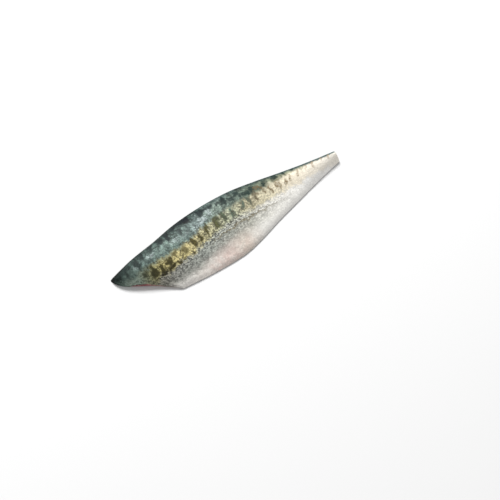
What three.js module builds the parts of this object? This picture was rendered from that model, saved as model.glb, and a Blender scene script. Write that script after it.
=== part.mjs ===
// One skin-on mackerel fillet, the left side of the fish, lying on its cut face.
// Millimetres. +X runs towards the tail, +Y towards the back of the fish, +Z up through the skin.
// The origin is the middle of the footprint, at the level of the table.
import * as THREE from 'three';

// Driving dimensions
const LENGTH = 222; // front corner of the head cut to the tail cut
const HEAD_CUT_RUN = 46; // how far the slanting head cut reaches along the belly
const BELLY_DROP = 37.5; // belly corner of the head cut, below the front corner
const HEAD_CUT_BULGE = 3.6; // how far the cut swells out of a straight line
const HEAD_CUT_BULGE_PLACE = 0.2; // where it swells most, as a share of the cut from the front corner
const BULGE_LENGTH = 0.15; // the swelling dies out over this share of the fillet
const TAIL_WIDTH = 8.5;
const CROWN_HEIGHT = 11.3; // rise of the skin over its own edges, at the thickest station
const CROWN_BACK_POWER = 0.5; // steep shoulder at the back
const CROWN_BELLY_POWER = 1.2; // long slope down to the belly flap
const BACK_EDGE_THICKNESS = 4.0;
const BELLY_EDGE_THICKNESS = 2.0;
const EDGE_LIFT = 0.7; // how far the rim clears the table
const EDGE_INSET = 1.6; // width of the lifted rim
const GROOVE_DEPTH = 1.6; // channel left where the backbone was cut away
const GROOVE_HALF_WIDTH = 0.11; // as a share of the width
const GROOVE_CENTRE = 0.5; // as a share of the width, from the back
const GROOVE_HEAD_END = [0.02, 0.15]; // shares of the length over which it deepens behind the head cut
const GROOVE_TAIL_END = [0.05, 0.3]; // the same, in from the tail cut

// Mesh density
const STATIONS = 52; // along the fillet
const TOP_STEPS = 22; // across the skin
const BOTTOM_STEPS = 16; // across the cut face
const STATION_POWER = 1.3; // over 1 draws the stations together near the head cut

// The two long edges in plan, from the head cut to the tail cut. X runs from the front corner, Y from
// the same corner towards the back. Both are smooth curves through a few chosen places.
const BACK_EDGE = [
  [0, 0],
  [22, 5],
  [43, 9],
  [66, 14.4],
  [92, 17.4],
  [120, 17.6],
  [146, 14.2],
  [172, 9.8],
  [197, 6.6],
  [LENGTH, 4.4],
];
const BELLY_EDGE = [
  [HEAD_CUT_RUN, -BELLY_DROP],
  [76, -38.8],
  [104, -38],
  [122, -33.8],
  [146, -25.8],
  [171, -18.3],
  [196, -10.9],
  [LENGTH, 4.4 - TAIL_WIDTH],
];

// Share of CROWN_HEIGHT from the head cut (0) to the tail cut (1): the cut end slopes down to a thin lip
// and the body thins slowly towards the tail.
const CROWN_PLACES = [0, 0.04, 0.1, 0.2, 0.33, 0.5, 0.68, 0.85, 1];
const CROWN_SHARES = [0.08, 0.56, 0.86, 0.97, 1, 0.95, 0.74, 0.47, 0.26];

const toCurve = (points) => new THREE.SplineCurve(points.map(([x, y]) => new THREE.Vector2(x, y)));
const backEdge = toCurve(BACK_EDGE);
const bellyEdge = toCurve(BELLY_EDGE);
const crownShare = new THREE.CubicInterpolant(CROWN_PLACES, CROWN_SHARES, 1, [0]);

// Rise across the skin, 0 at both edges and 1 at its highest, nearer the back than the belly.
const CROWN_PEAK = CROWN_BACK_POWER / (CROWN_BACK_POWER + CROWN_BELLY_POWER);
const crownShape = (across) => across ** CROWN_BACK_POWER * (1 - across) ** CROWN_BELLY_POWER;
const crownRise = (across) => crownShape(across) / crownShape(CROWN_PEAK);

// Height of the skin over the table. Along runs 0 to 1 from head to tail, and across runs 0 to 1 from
// back to belly.
function skinHeight(along, across) {
  const edge = THREE.MathUtils.lerp(BACK_EDGE_THICKNESS, BELLY_EDGE_THICKNESS, across);
  return EDGE_LIFT + edge + CROWN_HEIGHT * crownShare.evaluate(along)[0] * crownRise(across);
}

// Height of the cut face: flat on the table but for the backbone channel, which closes at both ends.
function cutFaceHeight(along, across) {
  const offset = Math.abs(across - GROOVE_CENTRE) / GROOVE_HALF_WIDTH;
  const headFade = THREE.MathUtils.smoothstep(along, ...GROOVE_HEAD_END);
  const tailFade = THREE.MathUtils.smoothstep(1 - along, ...GROOVE_TAIL_END);
  const depth = GROOVE_DEPTH * headFade * tailFade;
  return offset < 1 ? depth * Math.cos((offset * Math.PI) / 2) ** 2 : 0;
}

// How far the head cut swells out of line at this share of its length, 1 at most.
const BULGE_FALL = (1 - HEAD_CUT_BULGE_PLACE) / HEAD_CUT_BULGE_PLACE;
const bulgeShape = (across) => across * (1 - across) ** BULGE_FALL;
const bulgeShare = (across) => bulgeShape(across) / bulgeShape(HEAD_CUT_BULGE_PLACE);
const bulgeWay = new THREE.Vector2(-BELLY_DROP, -HEAD_CUT_RUN).normalize();

// Place in plan of a point on the fillet, with the swelling fading out behind the head cut.
function planPlace(along, across) {
  const place = backEdge.getPointAt(along).lerp(bellyEdge.getPointAt(along), across);
  const fade = (1 - Math.min(along / BULGE_LENGTH, 1)) ** 2;
  return place.addScaledVector(bulgeWay, HEAD_CUT_BULGE * fade * bulgeShare(across));
}

// One closed ring of points: over the skin from back to belly, then under the cut face to the back.
function ringAt(along) {
  const width = backEdge.getPointAt(along).distanceTo(bellyEdge.getPointAt(along));
  const inset = EDGE_INSET / width;
  const ring = [];
  const addPoint = (across, height) => {
    const place = planPlace(along, across);
    ring.push([place.x, place.y, height]);
  };
  for (let i = 0; i <= TOP_STEPS; i += 1) {
    // Closer steps at the two edges, where the skin turns down.
    const across = (1 - Math.cos((Math.PI * i) / TOP_STEPS)) / 2;
    addPoint(across, skinHeight(along, across));
  }
  addPoint(1, EDGE_LIFT);
  for (let i = 0; i <= BOTTOM_STEPS; i += 1) {
    const across = THREE.MathUtils.lerp(1 - inset, inset, i / BOTTOM_STEPS);
    addPoint(across, cutFaceHeight(along, across));
  }
  addPoint(0, EDGE_LIFT);
  return ring;
}

// Joins the rings into one closed skin, with a flat fan over each cut end.
function loftRings(rings) {
  const ringSize = rings[0].length;
  const positions = rings.flat(2);
  const triangles = [];
  for (let i = 0; i < rings.length - 1; i += 1) {
    for (let j = 0; j < ringSize; j += 1) {
      const here = i * ringSize + j;
      const next = i * ringSize + ((j + 1) % ringSize);
      triangles.push(here, next, here + ringSize);
      triangles.push(next, next + ringSize, here + ringSize);
    }
  }
  for (const end of [0, rings.length - 1]) {
    const ring = rings[end];
    const middle = positions.length / 3;
    for (const axis of [0, 1, 2]) {
      positions.push(ring.reduce((sum, point) => sum + point[axis], 0) / ringSize);
    }
    for (let j = 0; j < ringSize; j += 1) {
      const here = end * ringSize + j;
      const next = end * ringSize + ((j + 1) % ringSize);
      triangles.push(...(end === 0 ? [middle, next, here] : [middle, here, next]));
    }
  }
  const geometry = new THREE.BufferGeometry();
  geometry.setAttribute('position', new THREE.Float32BufferAttribute(positions, 3));
  geometry.setIndex(triangles);
  return geometry;
}

// The crown rises fastest behind the head cut, so the stations are closest there.
const rings = [];
for (let i = 0; i <= STATIONS; i += 1) {
  rings.push(ringAt((i / STATIONS) ** STATION_POWER));
}

const filletGeometry = loftRings(rings);
filletGeometry.computeBoundingBox();
const middle = filletGeometry.boundingBox.getCenter(new THREE.Vector3());
filletGeometry.translate(-middle.x, -middle.y, 0);
filletGeometry.computeVertexNormals();

// Moist silver skin over pale pink meat.
const skinMaterial = new THREE.MeshStandardMaterial({
  color: 0xa3a89c,
  roughness: 0.38,
  metalness: 0.1,
});

const fillet = new THREE.Mesh(filletGeometry, skinMaterial);
fillet.name = 'fillet';

const group = new THREE.Group();
group.add(fillet);

export default group;
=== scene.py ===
import functools
import math

import bmesh
import bpy
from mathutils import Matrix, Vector, noise


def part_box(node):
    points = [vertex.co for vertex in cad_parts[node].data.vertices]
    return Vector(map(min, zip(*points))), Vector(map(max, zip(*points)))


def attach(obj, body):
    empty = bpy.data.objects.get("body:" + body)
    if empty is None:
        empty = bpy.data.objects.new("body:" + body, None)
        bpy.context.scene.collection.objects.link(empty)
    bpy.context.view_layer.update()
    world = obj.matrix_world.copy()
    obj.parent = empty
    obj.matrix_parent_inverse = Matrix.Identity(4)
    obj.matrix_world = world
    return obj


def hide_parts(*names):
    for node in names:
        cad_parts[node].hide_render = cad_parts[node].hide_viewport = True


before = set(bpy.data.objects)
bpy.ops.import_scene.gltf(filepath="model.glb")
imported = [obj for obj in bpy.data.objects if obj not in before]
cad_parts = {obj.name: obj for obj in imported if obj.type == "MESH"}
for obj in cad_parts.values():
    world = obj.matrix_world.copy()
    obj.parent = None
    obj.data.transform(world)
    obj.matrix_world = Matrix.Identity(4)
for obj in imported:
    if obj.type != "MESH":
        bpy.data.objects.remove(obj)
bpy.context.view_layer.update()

# The meat: the left side of a mackerel, sliced off the backbone from behind the head to the tail. Its cut
# face lies on the table, with a shallow channel where the backbone lay. The outer face swells from a thin
# belly flap to a full shoulder near the back, and it slopes down to a thin lip at the slanting head cut.
MM = 0.001
low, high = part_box("fillet")
LENGTH = (high.x - low.x) / MM

# Both long edges in plan, as smooth curves through a few places that were measured and then adjusted: mm
# behind the front corner of the head cut, and mm from that corner towards the back.
HEAD_CUT_RUN = 46.0  # the belly edge starts this far behind the front corner
BELLY_DROP = 37.5
TAIL_RISE = 4.4
TAIL_WIDTH = 8.5
BACK_EDGE = [
    (0, 0), (22, 5), (43, 9), (66, 14.4), (92, 17.4), (120, 17.6), (146, 14.2), (172, 9.8), (197, 6.6),
    (LENGTH, TAIL_RISE)]
BELLY_EDGE = [
    (HEAD_CUT_RUN, -BELLY_DROP), (76, -38.8), (104, -38), (122, -33.8), (146, -25.8), (171, -18.3),
    (196, -10.9), (LENGTH, TAIL_RISE - TAIL_WIDTH)]

# The head cut bows outwards, most of all near its front corner, and the bow dies out along the fillet.
HEAD_CUT_BULGE = 3.6
HEAD_CUT_WAY = Vector((-0.63, -0.78))  # straight out of the head cut, in plan
HEAD_CUT_SLANT = 0.8  # mm from the head cut for each mm along the fillet
BULGE_PLACE = 0.2  # share of the cut, from the back
BULGE_REACH = 0.15  # share of the length

CROWN_HEIGHT = 11.1
CROWN_SHARES = [  # share of the length, and of the crown's height there
    (0, 0.90), (0.1, 0.94), (0.2, 0.98), (0.3, 1.0), (0.4, 1.0), (0.5, 0.95), (0.6, 0.87), (0.7, 0.76),
    (0.8, 0.62), (0.9, 0.46), (1, 0.30)]
CROWN_BACK_POWER = 0.5  # steep shoulder at the back
CROWN_BELLY_POWER = 1.2  # long slope down to the belly flap
HEAD_SLOPE = 20.0  # mm over which the head end rises to full height
HEAD_SLOPE_POWER = 0.8
BACK_LIP = 4.0
BELLY_LIP = 2.0
BELLY_ROUNDING = 5.0
RIM_ROUNDING = 1.6
RIM_LIFT = 0.3  # mm by which the rim clears the table
DENT_DEPTH, DENT_SIZE = 0.35, 15
SMALL_DENT_DEPTH, SMALL_DENT_SIZE = 0.14, 5

CHANNEL_DEPTH = 1.6
CHANNEL_HALF_WIDTH = 0.11  # share of the width
CHANNEL_PLACE = 0.5  # share of the width, from the back


def follow(places, where):
    """Height at one place of the smooth curve through these (place, height) pairs."""
    last = len(places) - 1
    step = max(i for i in range(last) if i == 0 or places[i][0] <= where)
    before_at, before = places[max(step - 1, 0)]
    start_at, start = places[step]
    end_at, end = places[step + 1]
    after_at, after = places[min(step + 2, last)]
    span = end_at - start_at
    part = min(max((where - start_at) / span, 0.0), 1.0)
    slope_in = span * (end - before) / (end_at - before_at)
    slope_out = span * (after - start) / (after_at - start_at)
    rise = end - start
    turn = slope_in + slope_out - 2 * rise
    return start + part * (slope_in + part * (rise - slope_in - turn + part * turn))


def smooth_step(value, start, end):
    """0 before start, 1 after end, with a soft turn between them."""
    part = min(max((value - start) / (end - start), 0.0), 1.0)
    return part * part * (3 - 2 * part)


def rounding(distance, radius):
    """Height of a quarter-round edge, from 0 at its foot to 1 a radius in."""
    return math.sqrt(1 - (1 - min(max(distance / radius, 0.0), 1.0)) ** 2)


# The front corner lies this many mm above the belly side of the CAD box, which the belly edge just touches.
CORNER_RISE = -min(follow(BELLY_EDGE, behind) for behind in range(int(HEAD_CUT_RUN), int(LENGTH)))


@functools.lru_cache(maxsize=None)
def edges_at(along):
    """The back and belly ends of a station, in mm from the low corner of the CAD box."""
    back_behind = LENGTH * along
    belly_behind = HEAD_CUT_RUN + (LENGTH - HEAD_CUT_RUN) * along
    back = Vector((back_behind, CORNER_RISE + follow(BACK_EDGE, back_behind)))
    belly = Vector((belly_behind, CORNER_RISE + follow(BELLY_EDGE, belly_behind)))
    return back, belly


def plan_place(along, across):
    """Place in plan, in mm from the low corner. across runs 0 to 1 from the back to the belly."""
    back, belly = edges_at(along)
    falls = (1 - BULGE_PLACE) / BULGE_PLACE
    peak = BULGE_PLACE * (1 - BULGE_PLACE) ** falls
    swelling = across * (1 - across) ** falls / peak * (1 - min(along / BULGE_REACH, 1)) ** 2
    return back.lerp(belly, across) + HEAD_CUT_WAY * HEAD_CUT_BULGE * swelling


def outer_height(along, across):
    """Height in mm of the meat's outer face over the table."""
    back, belly = edges_at(along)
    width = (belly - back).length
    peak = CROWN_BACK_POWER / (CROWN_BACK_POWER + CROWN_BELLY_POWER)
    rise = (across / peak) ** CROWN_BACK_POWER * ((1 - across) / (1 - peak)) ** CROWN_BELLY_POWER
    head_distance = along * LENGTH * HEAD_CUT_SLANT
    ends = rounding(head_distance, RIM_ROUNDING) * rounding((1 - along) * LENGTH, RIM_ROUNDING)
    slope = (1 - (1 - min(head_distance / HEAD_SLOPE, 1)) ** 2) ** HEAD_SLOPE_POWER
    crown = CROWN_HEIGHT * follow(CROWN_SHARES, along) * slope * rise
    sides = rounding(across * width, BACK_LIP) * rounding((1 - across) * width, BELLY_ROUNDING)
    lip = BACK_LIP + (BELLY_LIP - BACK_LIP) * across
    where = Vector((along * LENGTH, across * width, 0))
    small_dents = SMALL_DENT_DEPTH * noise.noise(where / SMALL_DENT_SIZE + Vector((7, 0, 3)))
    dents = DENT_DEPTH * noise.noise(where / DENT_SIZE) + small_dents
    inside = smooth_step(min(across, 1 - across), 0.0, 0.15) * smooth_step(along, 0, 0.08)
    return RIM_LIFT + ends * (lip * sides + crown) + dents * inside * ends


def cut_height(along, across):
    """Height in mm of the cut face, which rests on the table but for its rim and its channel."""
    back, belly = edges_at(along)
    width = (belly - back).length
    head_distance = along * LENGTH * HEAD_CUT_SLANT
    rim = min(across * width, (1 - across) * width, head_distance, (1 - along) * LENGTH)
    offset = abs(across - CHANNEL_PLACE) / CHANNEL_HALF_WIDTH
    ends = smooth_step(along, 0.02, 0.15) * smooth_step(1 - along, 0.05, 0.3)
    channel = CHANNEL_DEPTH * ends * math.cos(min(offset, 1) * math.pi / 2) ** 2
    return RIM_LIFT * (1 - rounding(rim, RIM_ROUNDING)) + channel


def sheet_of(bm, steps_along, steps_across, place_at):
    """A grid whose corners are set by place_at(along, across), with closer rows at the two long edges."""
    made = bmesh.ops.create_grid(bm, x_segments=steps_along, y_segments=steps_across, size=1)
    for vert in made["verts"]:
        along = (1 + vert.co.x) / 2
        across = (1 - math.cos(math.pi * (1 - vert.co.y) / 2)) / 2
        vert.co = place_at(min(max(along, 0), 1), min(max(across, 0), 1))
    return made["verts"]


def to_frame(plan, height):
    """A place in the row frame, in metres."""
    return Vector((low.x + plan.x * MM, low.y + plan.y * MM, low.z + height * MM))


def piece_from(bm, name):
    """Turns a finished bmesh into a smooth-shaded object at the origin."""
    mesh = bpy.data.meshes.new(name)
    bm.to_mesh(mesh)
    bm.free()
    mesh.shade_smooth()
    piece = bpy.data.objects.new(name, mesh)
    bpy.context.collection.objects.link(piece)
    return piece


MEAT_STEPS = (260, 70)
WELD = 0.002  # mm
bm = bmesh.new()
sheet_of(bm, *MEAT_STEPS, lambda a, c: to_frame(plan_place(a, c), outer_height(a, c)))
under = sheet_of(bm, *MEAT_STEPS, lambda a, c: to_frame(plan_place(a, c), cut_height(a, c)))
under_faces = {face for vert in under for face in vert.link_faces}
bmesh.ops.reverse_faces(bm, faces=list(under_faces))
bmesh.ops.remove_doubles(bm, verts=bm.verts, dist=WELD * MM)
# At two corners the outer and the cut face would share one flat triangle, so a neighbour is drawn into
# the corner.
corners = [vert for vert in bm.verts if len(vert.link_edges) == 2]
bmesh.ops.weld_verts(bm, targetmap={vert.link_edges[0].other_vert(vert): vert for vert in corners})
cut_place = bm.verts.layers.float_vector.new("cut_place")
for vert in bm.verts:
    from_corner = Vector((vert.co.x - low.x, vert.co.y - low.y)) / MM
    back_side = CORNER_RISE + follow(BACK_EDGE, from_corner.x)
    belly_side = CORNER_RISE + follow(BELLY_EDGE, from_corner.x)
    across = (back_side - from_corner.y) / max(back_side - belly_side, 1)
    vert[cut_place] = Vector((from_corner.x, across, (across - CHANNEL_PLACE) * (back_side - belly_side)))
meat = piece_from(bm, "meat")


def linear(hex_colour):
    """An sRGB hex colour as linear red, green, blue and a full alpha."""
    parts = [int(hex_colour[i : i + 2], 16) / 255 for i in (0, 2, 4)]
    return [c / 12.92 if c <= 0.04045 else ((c + 0.055) / 1.055) ** 2.4 for c in parts] + [1.0]


def add_node(tree, kind, sockets=None, stops=None, **settings):
    """Adds one node. sockets maps an input's name or number to a value, a node or an output to link."""
    made = tree.nodes.new("ShaderNode" + kind)
    for name, value in settings.items():
        setattr(made, name, value)
    for key, value in (sockets or {}).items():
        if isinstance(key, int):
            socket = made.inputs[key]
        else:
            socket = next(s for s in made.inputs if s.enabled and s.name == key)
        if isinstance(value, bpy.types.Node):
            value = next(s for s in value.outputs if s.enabled)
        if isinstance(value, bpy.types.NodeSocket):
            tree.links.new(value, socket)
        else:
            socket.default_value = value
    if stops:
        made.color_ramp.elements.remove(made.color_ramp.elements[1])
        made.color_ramp.elements[0].position = stops[0][0]
        made.color_ramp.elements[0].color = linear(stops[0][1])
        for place, colour in stops[1:]:
            made.color_ramp.elements.new(place).color = linear(colour)
    return made


def new_material(name):
    """An empty node material and its tree."""
    material = bpy.data.materials.new(name)
    material.use_nodes = True
    material.node_tree.nodes.clear()
    return material, material.node_tree


# Raw oily fish meat, cut with a knife: moist and a little translucent, pink with a dark red stripe where the
# backbone lay, paler towards the belly, with the thin bent walls between its muscle blocks.
raw_meat, tree = new_material("raw_mackerel_meat_knife_cut")
coords = add_node(tree, "TexCoord")
place = add_node(tree, "Mapping", {"Vector": coords.outputs["Object"], "Scale": (1000, 1000, 1000)})
cut_out = add_node(tree, "Attribute", attribute_name="cut_place")
parts = add_node(tree, "SeparateXYZ", {"Vector": cut_out.outputs["Vector"]})
behind, across, off_stripe = parts.outputs["X"], parts.outputs["Y"], parts.outputs["Z"]

CLOUD_SIZE = 8.0
cloud = add_node(tree, "TexNoise", {"Vector": place, "Scale": 1 / CLOUD_SIZE, "Detail": 4, "Roughness": 0.6})
drift = add_node(tree, "MapRange", {
    "Value": cloud, "From Min": 0.3, "From Max": 0.7, "To Min": -0.08, "To Max": 0.08})
across = add_node(tree, "Math", {0: across, 1: drift}, operation="ADD")
tone = add_node(tree, "ValToRGB", {0: across}, stops=[
    (0.0, "A07A6E"), (0.15, "B4847A"), (0.38, "BC8A84"), (0.46, "A86468"), (0.52, "964A54"),
    (0.58, "B87C7A"), (0.72, "C49E92"), (0.88, "CCB4A4"), (1.0, "D0C6B8")])

# Walls between the muscle blocks: pale thin lines every 5 mm, bent back like a row of arrowheads.
BLOCK_LENGTH = 5.0
BLOCK_LEAN = 0.8  # mm towards the tail for each mm off the stripe
BLOCK_DRIFT = 30.0
bent = add_node(tree, "Math", {0: off_stripe}, operation="ABSOLUTE")
bent = add_node(tree, "Math", {0: bent, 1: -BLOCK_LEAN, 2: behind}, operation="MULTIPLY_ADD")
bent = add_node(tree, "Math", {0: drift, 1: BLOCK_DRIFT, 2: bent}, operation="MULTIPLY_ADD")
bent = add_node(tree, "CombineXYZ", {"X": bent})
walls = add_node(tree, "TexWave", {"Vector": bent, "Scale": math.pi / 10 / BLOCK_LENGTH})
walls = add_node(tree, "MapRange", {
    "Value": walls.outputs["Fac"], "From Min": 0.8, "From Max": 1, "To Max": 1})
faded = add_node(tree, "MapRange", {"Value": cloud, "From Min": 0.4, "From Max": 0.7, "To Max": 0.28})
walls = add_node(tree, "Math", {0: walls, 1: faded}, operation="MULTIPLY")
tone = add_node(tree, "Mix", {"Factor": walls, "A": tone, "B": linear("E8D2C6")}, data_type="RGBA")

# Muscle fibres, drawn coarser than real ones so that they show.
FIBRE_LENGTH, FIBRE_WIDTH = 3.0, 0.7
along_meat = add_node(tree, "Mapping", {
    "Vector": place, "Scale": (1 / FIBRE_LENGTH, 1 / FIBRE_WIDTH, 1 / FIBRE_WIDTH)})
fibres = add_node(tree, "TexNoise", {"Vector": along_meat, "Scale": 1, "Detail": 3})
shade = add_node(tree, "MapRange", {
    "Value": fibres, "From Min": 0.3, "From Max": 0.7, "To Min": 0.82, "To Max": 1.15})
tone = add_node(tree, "HueSaturation", {"Value": shade, "Color": tone})
height = add_node(tree, "Mix", {"Factor": 0.5, "A": fibres, "B": walls})
bump = add_node(tree, "Bump", {"Height": height, "Strength": 0.5, "Distance": 0.0004})
shader = add_node(tree, "BsdfPrincipled", {
    "Base Color": tone, "Roughness": 0.34, "Subsurface Weight": 0.15, "Normal": bump})
shader.inputs["Subsurface Radius"].default_value = (0.004, 0.0015, 0.001)
add_node(tree, "OutputMaterial", {"Surface": shader})
meat.data.materials.append(raw_meat)
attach(meat, "root")
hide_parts("fillet")

# The skin: thin, tough and wet, grown onto the meat with its tiny scales. It wraps the outer face down to
# the two long edges and shrinks back a little at the head cut, where a line of meat shows.
SKIN_THICKNESS = 0.4
SKIN_STEPS = (320, 96)
SKIN_SINK = 0.05  # mm by which its inner face lies in the meat, so that no gap shows
SKIN_INSET = 0.015  # mm in from the two long edges
SKIN_REACH = 0.997  # share of the length, just short of the tail cut
BARE_MEAT = 0.5  # mm by which it shrinks back, on average, near the middle of the head cut
BAND_LINE = [  # middle of the gold band: share of the length, and mm from the belly side of the CAD box
    (0, 24.9), (0.1, 23.2), (0.2, 23.0), (0.3, 25.6), (0.4, 31.0), (0.5, 34.6), (0.6, 35.4), (0.7, 36.2),
    (0.8, 37.4), (0.9, 38.8), (1, 40.0)]


def skin_place(along, across):
    """Where the skin's inner face lies: its two shares of the meat's outer face, and its height in mm."""
    back, belly = edges_at(along)
    width = (belly - back).length
    wander = noise.noise(Vector((across * 9, 2.0, 0))) + 0.5 * noise.noise(Vector((across * 31, 5.0, 0)))
    bare = BARE_MEAT * smooth_step(across, 0.26, 0.4) * (1 - 0.8 * smooth_step(across, 0.55, 0.8))
    retreat = bare * (1 + wander) / LENGTH
    along_skin = retreat + (1 - retreat) * along * SKIN_REACH
    edge = SKIN_INSET / width
    across_skin = edge + (1 - 2 * edge) * across
    height = outer_height(along_skin, across_skin) - SKIN_SINK
    return along_skin, across_skin, height


# Soft oval marks: mm behind the front corner, mm above the middle of the band, half length, half height
# and depth. Those of the band are the row of blotches along it and a dark line under its head end. The pale
# ones are partly silvery patches of the skin and partly painted highlight, where the wet back catches the
# softbox; the deepest, at 87.5 mm, is mostly painted highlight.
BAND_MARKS = [
    (24, 0.8, 2.2, 2.8, 0.5), (31, -0.7, 2.5, 4.6, 0.65), (38, -1.5, 1.7, 3.8, 0.6),
    (46, -0.7, 2.6, 4.2, 0.8), (53.5, 1.5, 1.9, 2.8, 0.4), (62, -0.4, 2.1, 4.4, 0.4),
    (71, -0.4, 2.1, 4.0, 0.75), (79, -0.9, 1.9, 4.4, 0.8), (86.5, 0.2, 1.9, 4.0, 0.8),
    (97, 0.9, 2.6, 5.4, 0.6), (104.5, 0, 2.4, 5.0, 0.6), (113.5, -1.6, 2.5, 4.8, 0.5),
    (123, 0.4, 2.4, 3.8, 0.5), (131, 0.5, 2.4, 4.6, 0.6), (138.8, 1.4, 1.9, 4.8, 0.55),
    (143.5, 6.6, 4.2, 1.7, 0.6), (147, 2.2, 1.6, 4.2, 0.55), (152.5, 0.3, 2.1, 4.2, 0.6),
    (160.5, 0.5, 1.8, 4.2, 0.5), (167, 1.1, 1.9, 3.4, 0.5), (173.5, 1.1, 2.0, 3.0, 0.5),
    (181.5, 1.3, 2.8, 2.4, 0.5), (189.5, 1.0, 1.8, 3.0, 0.4), (197.5, 0.8, 1.7, 2.3, 0.45),
    (205, 0.6, 1.5, 2.2, 0.4), (212, 0.3, 1.5, 2.0, 0.35), (38, -4.4, 3.4, 1.3, 0.8),
    (45.5, -5.9, 4.2, 1.3, 1.0), (52, -5.9, 3.6, 1.0, 0.7), (58, -5.6, 3.0, 0.9, 0.5),
    (67, -5.8, 1.8, 1.1, 0.6), (72, -6.3, 1.5, 0.9, 0.5),
]
BACK_MARKS = [
    (6, 13, 7.0, 3.2, 0.8), (14, 7.5, 2.4, 3.6, 0.3), (22.5, 10, 2.6, 4.6, 0.7),
    (29.5, 17, 2.2, 5.6, 0.8), (38, 19, 2.2, 6.0, 0.8), (47, 20, 1.9, 6.0, 0.75),
    (55, 20.5, 2.2, 7.0, 0.8), (62, 23, 2.3, 3.6, 0.9), (66, 15, 1.8, 4.0, 0.35),
    (70, 24, 3.3, 5.2, 1.0), (77, 23.5, 2.6, 5.6, 1.0), (83.5, 25, 1.8, 4.5, 0.8),
    (91, 16.5, 5.5, 3.4, 0.8), (99, 15.0, 2.4, 2.6, 0.6), (106, 13.5, 1.8, 2.2, 0.7),
    (111.5, 12, 4.0, 3.3, 1.0), (119, 10.2, 2.0, 2.6, 0.8), (124, 11.6, 2.8, 2.6, 0.8),
    (131, 8.2, 5.4, 2.8, 0.85), (139.5, 8.0, 2.6, 3.0, 0.75), (151, 9.0, 2.2, 2.8, 0.65),
    (160.5, 9.5, 3.2, 3.2, 0.75), (170, 8.8, 2.2, 3.0, 0.6), (178, 8.4, 2.2, 2.8, 0.5),
    (186, 7.8, 2.0, 2.6, 0.45), (194, 7.2, 1.8, 2.4, 0.4), (202, 6.6, 1.8, 2.2, 0.35),
    (210, 6.0, 1.6, 2.0, 0.3),
]
# Pale patches on the back: silvery skin, with a painted highlight of the softbox's gloss.
PALE_AND_HIGHLIGHT_MARKS = [
    (35, 11.5, 3.0, 2.6, 0.3), (20, 8.0, 2.4, 2.0, 0.2), (60, 11, 5.5, 3.0, 0.25),
    (70, 9.8, 4.5, 2.6, 0.2), (79, 9.5, 3.6, 3.2, 0.3), (87.5, 9.8, 3.8, 3.2, 0.7),
    (96, 12.5, 3.0, 2.4, 0.4),
]
MARK_CORE = 0.5  # share of a mark's half size that is at full depth
MARK_REACH = 1.4  # and how many half sizes out it ends


def mark_depth(marks, behind, above):
    """How deep the deepest of these marks is at one place."""
    deepest = 0.0
    for centre, middle, half_length, half_height, depth in marks:
        if abs(behind - centre) < MARK_REACH * half_length:
            reach = math.hypot((behind - centre) / half_length, (above - middle) / half_height)
            deepest = max(deepest, depth * (1 - smooth_step(reach, MARK_CORE, MARK_REACH)))
    return deepest


SWAY = 2.0
COARSE_SWAY_SIZE, FINE_SWAY_SIZE = 5, 2
ALONG_LAYER, ACROSS_LAYER = 3.5, 9.5


def sway(plan, layer):
    """How far a mark is pushed out of place, in mm, coarse and fine together, for one noise layer."""
    coarse = noise.noise(Vector((plan.x / COARSE_SWAY_SIZE, plan.y / COARSE_SWAY_SIZE, layer)))
    fine = noise.noise(Vector((plan.x / FINE_SWAY_SIZE, plan.y / FINE_SWAY_SIZE, layer)))
    return SWAY * coarse + SWAY * fine


bm = bmesh.new()
spread = bm.verts.layers.float_vector.new("spread")
marks = bm.verts.layers.float_vector.new("marks")
edge_distance = bm.verts.layers.float.new("from_back")
made = bmesh.ops.create_grid(bm, x_segments=SKIN_STEPS[0], y_segments=SKIN_STEPS[1], size=1)
for vert in made["verts"]:
    along = min(max((1 + vert.co.x) / 2, 0), 1)
    across = min(max((1 - math.cos(math.pi * (1 - vert.co.y) / 2)) / 2, 0), 1)
    along, across, height = skin_place(along, across)
    plan = plan_place(along, across)
    vert.co = to_frame(plan, height)
    share = min(max(plan.x / LENGTH, 0), 1)
    above = plan.y - follow(BAND_LINE, share)
    vert[spread] = Vector((share, above, across))
    place = plan.x + sway(plan, ALONG_LAYER), above + sway(plan, ACROSS_LAYER)
    vert[marks] = Vector([mark_depth(kind, *place) for kind in (BAND_MARKS, BACK_MARKS, PALE_AND_HIGHLIGHT_MARKS)])
    back, belly = edges_at(along)
    vert[edge_distance] = across * (belly - back).length
skin = piece_from(bm, "skin")
shell = skin.modifiers.new("thickness", "SOLIDIFY")
shell.thickness = SKIN_THICKNESS * MM
shell.offset = 1.0

# Wet mackerel skin with its scales on: blue-green back with dark bars, a gold band with olive blotches,
# a speckled grey flank and a white belly. The mucus over it gives a soft wet gloss.
wet_skin, tree = new_material("wet_mackerel_skin_scaled")
coords = add_node(tree, "TexCoord")
place = add_node(tree, "Mapping", {"Vector": coords.outputs["Object"], "Scale": (1000, 1000, 1000)})
spread_out = add_node(tree, "Attribute", attribute_name="spread")
parts = add_node(tree, "SeparateXYZ", {"Vector": spread_out.outputs["Vector"]})
along, band, across = parts.outputs["X"], parts.outputs["Y"], parts.outputs["Z"]
from_back = add_node(tree, "Attribute", attribute_name="from_back").outputs["Fac"]
marks_out = add_node(tree, "Attribute", attribute_name="marks")
parts = add_node(tree, "SeparateXYZ", {"Vector": marks_out.outputs["Vector"]})
band_mark, back_mark, pale_and_highlight_mark = parts.outputs["X"], parts.outputs["Y"], parts.outputs["Z"]

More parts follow.
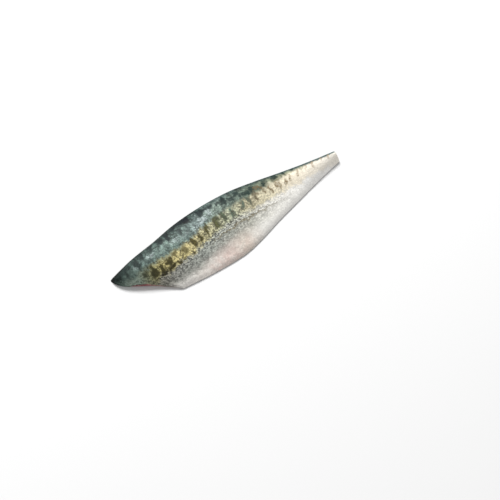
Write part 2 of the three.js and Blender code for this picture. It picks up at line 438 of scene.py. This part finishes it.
# Tiny scales, pale and dark side by side, each with a dark rim. Real ones are under 1 mm, and these are
# drawn coarser so that they show.
SCALE_LENGTH, SCALE_HEIGHT = 1.35, 1.05
SCALE_TURN = math.radians(28)
scale_net = add_node(tree, "Mapping", {
    "Vector": place, "Rotation": (0, 0, SCALE_TURN),
    "Scale": (1 / SCALE_LENGTH, 1 / SCALE_HEIGHT, 1 / SCALE_HEIGHT)})
scales = add_node(tree, "TexVoronoi", {"Vector": scale_net, "Scale": 1, "Randomness": 0.85})
scale_tone = add_node(tree, "SeparateXYZ", {"Vector": scales.outputs["Color"]})
scale_rim = add_node(tree, "MapRange", {
    "Value": scales.outputs["Distance"], "From Min": 0.7, "From Max": 0.1})
grain = add_node(tree, "Mix", {"Factor": 0.4, "A": scale_tone, "B": scale_rim})

# The zones of colour wander by up to 2 mm, and their edges break up scale by scale.
WANDER_SIZE = 6.0
WANDER = 2
wander = add_node(tree, "TexNoise", {
    "Vector": place, "Scale": 1 / WANDER_SIZE, "Detail": 4, "Roughness": 0.65})
shift = add_node(tree, "MapRange", {
    "Value": wander, "From Min": 0.3, "From Max": 0.7, "To Min": -WANDER, "To Max": WANDER})
speckle = add_node(tree, "MapRange", {"Value": grain, "To Min": -1, "To Max": 1})
shift = add_node(tree, "Math", {0: shift, 1: speckle}, operation="ADD")
level = add_node(tree, "Math", {0: band, 1: shift}, operation="ADD")

# The dark back keeps its share of the width as the fish narrows, and takes a larger one at the tail.
FULL_WIDTH = 54.0
TAIL_EXTRA = 9
tail_reach = add_node(tree, "MapRange", {
    "Value": along, "From Min": 0.65, "From Max": 1, "To Max": -TAIL_EXTRA})
rim_level = add_node(tree, "Math", {0: across, 1: FULL_WIDTH, 2: shift}, operation="MULTIPLY_ADD")
rim_level = add_node(tree, "Math", {0: rim_level, 1: tail_reach}, operation="ADD")

# Each zone of colour runs from the head cut (0) to the tail (1), and starts where its level passes the
# two heights, in mm above the middle of the gold band or in from the back edge.
belly_stops = [
    (0.2, "F4F0EA"), (0.3, "F2ECE4"), (0.42, "D6CAC2"), (0.5, "D2CABE"), (0.58, "E6E4DE"),
    (0.7, "F8F6F2"), (0.85, "FDFCF9")]
flank_stops = [
    (0.1, "7C7868"), (0.2, "8E8E87"), (0.35, "91958E"), (0.45, "9C9E96"), (0.55, "ACACA2"),
    (0.65, "DEDCD4"), (0.75, "F4F2EC"), (1.0, "FDFCF9")]
band_stops = [
    (0.0, "93A195"), (0.08, "828F82"), (0.12, "7C7D60"), (0.17, "9A9163"), (0.3, "A69C72"),
    (0.42, "959378"), (0.5, "979B86"), (0.58, "AAA388"), (0.68, "D4CCB2"), (0.8, "F2E8D4"),
    (0.95, "F6F0E4")]
back_stops = [
    (0.0, "6C7E74"), (0.12, "54635E"), (0.25, "66766F"), (0.34, "5F6D69"), (0.38, "6E7C79"),
    (0.45, "727F76"), (0.54, "5E6B62"), (0.64, "5E685A"), (0.74, "7E806A"), (0.85, "A0A088"),
    (1.0, "B4B09C")]
# The dark edge of the back, with a lighter grey stretch from 0.42 to 0.5 that is painted sheen of the
# softbox on the shoulder.
edge_and_sheen_stops = [
    (0.0, "0E1513"), (0.08, "28322F"), (0.2, "35403C"), (0.28, "1A2220"), (0.36, "0C1210"),
    (0.42, "3C4845"), (0.5, "404A48"), (0.6, "1C2624"), (0.68, "243330"), (0.8, "3C4A48"),
    (1.0, "4C5A5A")]
zones = [
    (level, -26, -13, flank_stops),
    (level, -8.5, -4.5, band_stops),
    (level, 1.5, 6.5, back_stops),
    (rim_level, 12.5, 4.5, edge_and_sheen_stops),
]
tone = add_node(tree, "ValToRGB", {0: along}, stops=belly_stops)

# Meat shows faintly pink through the thin belly.
blush = add_node(tree, "MapRange", {"Value": wander, "From Min": 0.4, "From Max": 0.62, "To Max": 0.5})
blush_depth = add_node(tree, "ValToRGB", {0: along}, stops=[
    (0.25, "000000"), (0.36, "F0F0F0"), (0.5, "C0C0C0"), (0.6, "000000")])
blush = add_node(tree, "Math", {0: blush, 1: blush_depth}, operation="MULTIPLY")
tone = add_node(tree, "Mix", {"Factor": blush, "A": tone, "B": linear("D2AFA4")}, data_type="RGBA")

starts = []
for height, start, full, stops in zones:
    zone_tone = add_node(tree, "ValToRGB", {0: along}, stops=stops)
    starts.append(add_node(tree, "MapRange", {
        "Value": height, "From Min": start, "From Max": full}, interpolation_type="SMOOTHSTEP"))
    tone = add_node(tree, "Mix", {"Factor": starts[-1], "A": tone, "B": zone_tone}, data_type="RGBA")
on_back, at_back_edge = starts[2:]

# Cloudy light and dark streaks across the back.
STREAK_LENGTH, STREAK_HEIGHT = 3.5, 7.0
upright = add_node(tree, "Mapping", {
    "Vector": place, "Scale": (1 / STREAK_LENGTH, 1 / STREAK_HEIGHT, 1 / STREAK_HEIGHT)})
streaks = add_node(tree, "TexNoise", {"Vector": upright, "Scale": 1, "Detail": 3, "Roughness": 0.6})
streaks = add_node(tree, "MapRange", {
    "Value": streaks, "From Min": 0.36, "From Max": 0.64, "To Min": 0.5, "To Max": 1.4})
streaked = add_node(tree, "HueSaturation", {"Value": streaks, "Color": tone})
tone = add_node(tree, "Mix", {"Factor": on_back, "A": tone, "B": streaked}, data_type="RGBA")

# Soft grey bars run over the edge of the back, about one every 9 mm, as on most mackerel.
BAR_SPACING = 8.8
bars = add_node(tree, "TexWave", {
    "Vector": place, "Scale": math.pi / 10 / BAR_SPACING, "Distortion": 3.0, "Detail": 2, "Detail Scale": 2})
bars = add_node(tree, "MapRange", {
    "Value": bars.outputs["Fac"], "From Min": 0.35, "From Max": 0.8, "To Max": 0.5})
bars = add_node(tree, "Math", {0: bars, 1: at_back_edge}, operation="MULTIPLY")
tone = add_node(tree, "Mix", {"Factor": bars, "A": tone, "B": linear("44544F")}, data_type="RGBA")

# The marks break up at their edges, scale by scale.
band_mark_tone = add_node(tree, "ValToRGB", {0: along}, stops=[
    (0.0, "2C3A36"), (0.15, "2E2C16"), (0.3, "3A3418"), (0.42, "434122"), (0.5, "31453B"), (0.57, "3D4F47"),
    (0.63, "5A4E38"), (0.8, "857252"), (1.0, "A08868")])
back_mark_tone = add_node(tree, "ValToRGB", {0: along}, stops=[
    (0.0, "26302D"), (0.35, "10161A"), (0.6, "122622")])
# The pale marks lay a painted highlight over the back as well as silvery skin.
mark_kinds = [
    (pale_and_highlight_mark, linear("A6B0B0"), 0.6), (back_mark, back_mark_tone, 0.9),
    (band_mark, band_mark_tone, 0.95)]
for mark, mark_tone, fullest in mark_kinds:
    ragged = add_node(tree, "MapRange", {"Value": grain, "To Min": 0.3, "To Max": 1.8})
    ragged = add_node(tree, "Math", {0: mark, 1: ragged}, operation="MULTIPLY")
    ragged = add_node(tree, "MapRange", {
        "Value": ragged, "From Min": 0.08, "From Max": 0.6, "To Max": fullest})
    tone = add_node(tree, "Mix", {"Factor": ragged, "A": tone, "B": mark_tone}, data_type="RGBA")

# The scales' own light and dark show most on the back, the band and the flank.
grain_depth = add_node(tree, "ValToRGB", {0: along}, stops=[
    (0.0, "B0B0B0"), (0.15, "FFFFFF"), (0.5, "FFFFFF"), (0.65, "B8B8B8"), (0.8, "707070"), (1.0, "606060")])
off_belly = add_node(tree, "MapRange", {
    "Value": band, "From Min": -22, "From Max": -8, "To Min": 0.2, "To Max": 1})
grain_depth = add_node(tree, "Math", {0: grain_depth, 1: off_belly}, operation="MULTIPLY")
calmer_back = add_node(tree, "MapRange", {"Value": on_back, "To Min": 1, "To Max": 0.6})
grain_depth = add_node(tree, "Math", {0: grain_depth, 1: calmer_back}, operation="MULTIPLY")
shade = add_node(tree, "MapRange", {
    "Value": grain, "From Min": 0.1, "From Max": 0.9, "To Min": 0.2, "To Max": 1.95})
grained = add_node(tree, "HueSaturation", {"Value": shade, "Color": tone})
tone = add_node(tree, "Mix", {"Factor": grain_depth, "A": tone, "B": grained}, data_type="RGBA")

# The lateral line: a thin, wavy, brown line on the lower side of the band.
LINE_LEVEL = -11.2
line = add_node(tree, "Math", {0: level, 1: -LINE_LEVEL}, operation="ADD")
line = add_node(tree, "Math", {0: line}, operation="ABSOLUTE")
line = add_node(tree, "MapRange", {"Value": line, "From Min": 1.1, "From Max": 0.3})
line_depth = add_node(tree, "ValToRGB", {0: along}, stops=[
    (0.36, "000000"), (0.44, "F0F0F0"), (0.6, "E0E0E0"), (0.72, "707070"), (0.85, "000000")])
line = add_node(tree, "Math", {0: line, 1: line_depth}, operation="MULTIPLY")
tone = add_node(tree, "Mix", {"Factor": line, "A": tone, "B": linear("6E6448")}, data_type="RGBA")

# The black line of the back, where both sides of the fish met.
back_line = add_node(tree, "MapRange", {"Value": from_back, "From Min": 4.2, "From Max": 2.4})
back_depth = add_node(tree, "ValToRGB", {0: along}, stops=[
    (0.0, "F8F8F8"), (0.45, "E8E8E8"), (0.55, "909090"), (0.7, "C0C0C0"), (1.0, "303030")])
back_line = add_node(tree, "Math", {0: back_line, 1: back_depth}, operation="MULTIPLY")
tone = add_node(tree, "Mix", {"Factor": back_line, "A": tone, "B": linear("141A18")}, data_type="RGBA")

# The mucus is uneven, so the gloss is too, and the edge of the back is duller.
relief = add_node(tree, "Math", {0: scale_rim, 1: off_belly}, operation="MULTIPLY")
bump = add_node(tree, "Bump", {"Height": relief, "Strength": 0.2, "Distance": 0.0004})
roughness = add_node(tree, "MapRange", {
    "Value": wander, "From Min": 0.3, "From Max": 0.7, "To Min": 0.42, "To Max": 0.58})
duller = add_node(tree, "MapRange", {"Value": from_back, "From Min": 18, "From Max": 6, "To Max": 0.3})
roughness = add_node(tree, "Math", {0: roughness, 1: duller}, operation="ADD")
shader = add_node(tree, "BsdfPrincipled", {
    "Base Color": tone, "Roughness": roughness, "Specular IOR Level": 0.12, "Normal": bump})
add_node(tree, "OutputMaterial", {"Surface": shader})
skin.data.materials.append(wet_skin)
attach(skin, "root")
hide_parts("fillet")

# A plain white laminate table, in a white room lit by one large softbox behind the fillet. The room
# looks white but lights the fillet with about half its strength, so that the softbox shapes it.
TABLE_REACH = 1.8  # metres, from the middle to each side
ROOM_LIGHT = 0.52
bm = bmesh.new()
bmesh.ops.create_grid(bm, x_segments=1, y_segments=1, size=TABLE_REACH)
table = piece_from(bm, "table")
white_board, tree = new_material("white_laminate_matt")
shader = add_node(tree, "BsdfPrincipled", {"Base Color": linear("D2D2D2"), "Roughness": 0.7})
add_node(tree, "OutputMaterial", {"Surface": shader})
table.data.materials.append(white_board)

world = bpy.data.worlds.new("studio")
world.use_nodes = True
world.node_tree.nodes["Background"].inputs["Color"].default_value = (1, 1, 1, 1)
path = add_node(world.node_tree, "LightPath")
strength = add_node(world.node_tree, "MapRange", {
    "Value": path.outputs["Is Camera Ray"], "To Min": ROOM_LIGHT, "To Max": 1})
background = world.node_tree.nodes["Background"]
world.node_tree.links.new(strength.outputs["Result"], background.inputs["Strength"])
bpy.context.scene.world = world
bpy.context.scene.view_settings.view_transform = "Standard"

key = bpy.data.lights.new("key", "AREA")
key.size = 0.8
key.energy = 144
softbox = bpy.data.objects.new("key", key)
softbox.location = (0.25, 2.2, 2.05)
softbox.rotation_euler = (-softbox.location).to_track_quat("-Z", "Y").to_euler()
bpy.context.collection.objects.link(softbox)

# The camera looks down on the fillet from the belly side, with the tail pointing away to the right.
AZIMUTH, ELEVATION = math.radians(-32.8), math.radians(60)
DISTANCE = 1.0
aim = Vector((-0.0009, -0.026, 0))
camera = bpy.data.objects.new("camera", bpy.data.cameras.new("camera"))
bpy.context.collection.objects.link(camera)
outward = math.cos(ELEVATION)
away = Vector((math.sin(AZIMUTH) * outward, -math.cos(AZIMUTH) * outward, math.sin(ELEVATION)))
camera.location = aim + away * DISTANCE
camera.rotation_euler = (-away).to_track_quat("-Z", "Y").to_euler()
camera.data.lens = 87.8
camera.data.sensor_width = 36
camera.data.clip_start = 0.05
camera.data.clip_end = 50
bpy.context.scene.camera = camera
